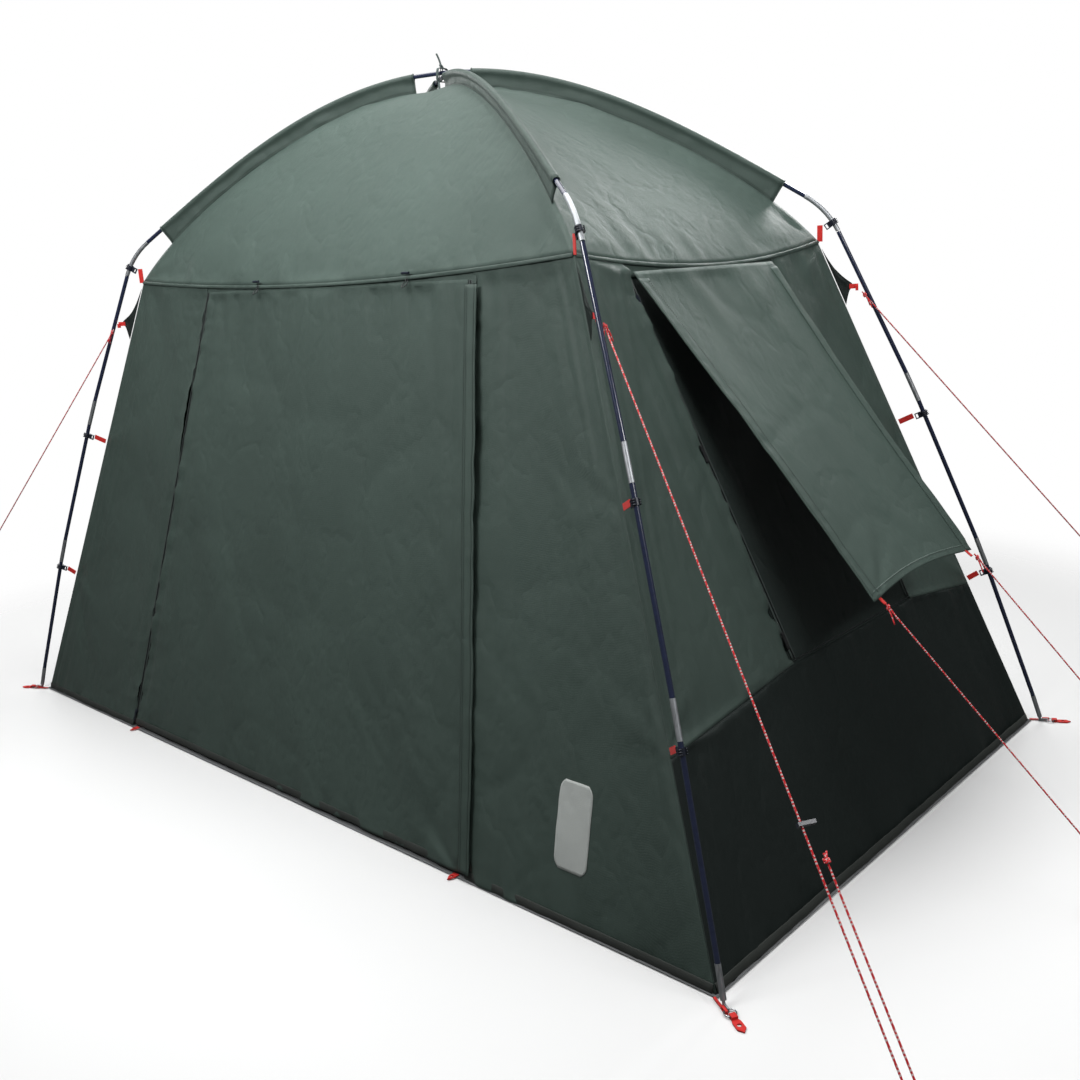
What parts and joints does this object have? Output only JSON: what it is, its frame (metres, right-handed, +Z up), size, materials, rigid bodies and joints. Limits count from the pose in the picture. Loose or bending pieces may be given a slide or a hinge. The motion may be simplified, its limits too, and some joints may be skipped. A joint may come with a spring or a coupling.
{
  "type": "tent on poles",
  "caption": "Cabin tent on two crossed bent poles with a domed roof, zip door, mesh windows, a side window cover propped as an awning, guy ropes and peg loops.",
  "frame": {"origin": "on the ground, at the middle of the tent's plan", "axes": "+Z up, +X along the long side towards the awning, -Y out of the door"},
  "size_m": [4.2529, 2.5207, 2.1457],
  "materials": {
    "pole": "satin, dark blue-black lacquer on steel tube",
    "silver_metal": "satin zinc-plated steel",
    "steel_wire": "bright plated wire",
    "shock_cord": "elastic core with a woven white cover",
    "red_webbing": "woven polyester tape",
    "black_plastic": "moulded, slightly glossy",
    "roof_cloth": "coated polyester taffeta, soft sheen",
    "wall_cloth": "coated polyester taffeta, soft sheen",
    "dark_cloth": "coated polyester, almost black",
    "mesh_cloth": "fine insect mesh",
    "groundsheet": "woven polyethylene sheet",
    "zip_tape": "zip tape with coil",
    "tie_tape": "grosgrain tape",
    "guy_rope": "braided cord, red with white flecks"
  },
  "bodies": {
    "tent": {"roof_pole_front_left_back_right": "pole", "roof_pole_front_right_back_left": "pole", "pole_elbows": "silver_metal", "leg_pole_front_left": "pole", "leg_pole_front_right": "pole", "leg_pole_back_right": "pole", "leg_pole_back_left": "pole", "pole_ferrules": "silver_metal", "foot_tips": "silver_metal", "foot_pins": "steel_wire", "shock_cords": "shock_cord", "corner_rings": "steel_wire", "corner_webbing": "red_webbing", "pole_clips": "black_plastic", "clip_straps": "red_webbing", "roof_front": "roof_cloth", "roof_right": "roof_cloth", "roof_back": "roof_cloth", "roof_left": "roof_cloth", "sleeve_front_left": "roof_cloth", "sleeve_front_right": "roof_cloth", "sleeve_back_right": "roof_cloth", "sleeve_back_left": "roof_cloth", "front_wall_left": "wall_cloth", "front_wall_right": "wall_cloth", "back_wall": "wall_cloth", "right_wall_front": "wall_cloth", "right_wall_back": "wall_cloth", "right_wall_lower": "dark_cloth", "left_wall_front": "wall_cloth", "left_wall_back": "wall_cloth", "left_wall_lower": "dark_cloth", "window_meshes": "mesh_cloth", "groundsheet": "groundsheet", "door_zip_tapes": "zip_tape", "window_zip_tapes": "zip_tape", "guy_wings": "dark_cloth", "guy_tabs": "red_webbing", "apex_tie": "tie_tape", "guy_rope_front_left": "guy_rope", "guy_rope_front_right": "guy_rope", "guy_rope_back_right": "guy_rope", "guy_rope_back_left": "guy_rope"},
    "door": {"door_panel": "wall_cloth", "door_zip_flap": "wall_cloth", "door_peg_loops": "red_webbing"},
    "door_slider_left": {"door_slider_left": "black_plastic"},
    "door_slider_right": {"door_slider_right": "black_plastic"},
    "awning": {"awning_panel": "roof_cloth"},
    "awning_ropes": {"awning_rope_front": "guy_rope", "awning_rope_back": "guy_rope"},
    "window_cover": {"window_cover_left": "roof_cloth"},
    "window_slider_right": {"window_slider_right": "black_plastic"},
    "window_slider_left": {"window_slider_left": "black_plastic"},
    "door_toggle_left": {"door_toggle_left": "black_plastic"},
    "door_toggle_right": {"door_toggle_right": "black_plastic"},
    "guy_runner_front_left": {"guy_runner_front_left": "black_plastic"},
    "guy_runner_front_right": {"guy_runner_front_right": "black_plastic"},
    "guy_runner_back_right": {"guy_runner_back_right": "black_plastic"},
    "guy_runner_back_left": {"guy_runner_back_left": "black_plastic"}
  },
  "joints": [
    {"name": "door_swing", "type": "hinge", "parent": "tent", "child": "door", "pos_m": [0, -0.56933, 1.47579], "axis": [-1, 0, 0], "range_deg": [0, 75]},
    {"name": "door_zip_left", "type": "slide", "parent": "tent", "child": "door_slider_left", "axis": [0.2106, 0.2025, 0.9564], "range_m": [0, 1.34]},
    {"name": "door_zip_right", "type": "slide", "parent": "tent", "child": "door_slider_right", "axis": [-0.0933, 0.2062, 0.9741], "range_m": [0, 1.34]},
    {"name": "awning_swing", "type": "hinge", "parent": "tent", "child": "awning", "pos_m": [1.01686, 0, 1.47715], "axis": [0, -1, 0], "range_deg": [-13, 15]},
    {"name": "awning_rope_swing", "type": "hinge", "parent": "awning", "child": "awning_ropes", "pos_m": [1.56753, 0, 0.67619], "axis": [0, -1, 0], "range_deg": [-27.5, 24]},
    {"name": "window_cover_swing", "type": "hinge", "parent": "tent", "child": "window_cover", "pos_m": [-1.01611, 0, 1.47345], "axis": [0, 1, 0], "range_deg": [0, 60]},
    {"name": "window_zip_right", "type": "slide", "parent": "tent", "child": "window_slider_right", "axis": [-0.3463, -0.1511, 0.9259], "range_m": [-0.85, 0]},
    {"name": "window_zip_left", "type": "slide", "parent": "tent", "child": "window_slider_left", "axis": [0.3463, -0.1511, 0.9259], "range_m": [0, 0.85]},
    {"name": "door_toggle_turn_left", "type": "hinge", "parent": "tent", "child": "door_toggle_left", "pos_m": [-0.283, -0.56522, 1.5], "axis": [0, -0.9783, 0.2071], "range_deg": [-60, 60]},
    {"name": "door_toggle_turn_right", "type": "hinge", "parent": "tent", "child": "door_toggle_right", "pos_m": [0.412, -0.56522, 1.5], "axis": [0, -0.9783, 0.2071], "range_deg": [-60, 60]},
    {"name": "guy_runner_slide_front_left", "type": "slide", "parent": "tent", "child": "guy_runner_front_left", "axis": [-0.4583, -0.3975, -0.795], "range_m": [0, 0.25]},
    {"name": "guy_runner_slide_front_right", "type": "slide", "parent": "tent", "child": "guy_runner_front_right", "axis": [0.6274, -0.3643, -0.6882], "range_m": [0, 0.25]},
    {"name": "guy_runner_slide_back_right", "type": "slide", "parent": "tent", "child": "guy_runner_back_right", "axis": [0.5606, 0.3229, -0.7625], "range_m": [0, 0.25]},
    {"name": "guy_runner_slide_back_left", "type": "slide", "parent": "tent", "child": "guy_runner_back_left", "axis": [-0.4739, 0.2666, -0.8392], "range_m": [0, 0.25]}
  ],
  "couplings": [
    {"joint": "awning_rope_swing", "follows": "awning_swing", "ratio": -1.8}
  ]
}
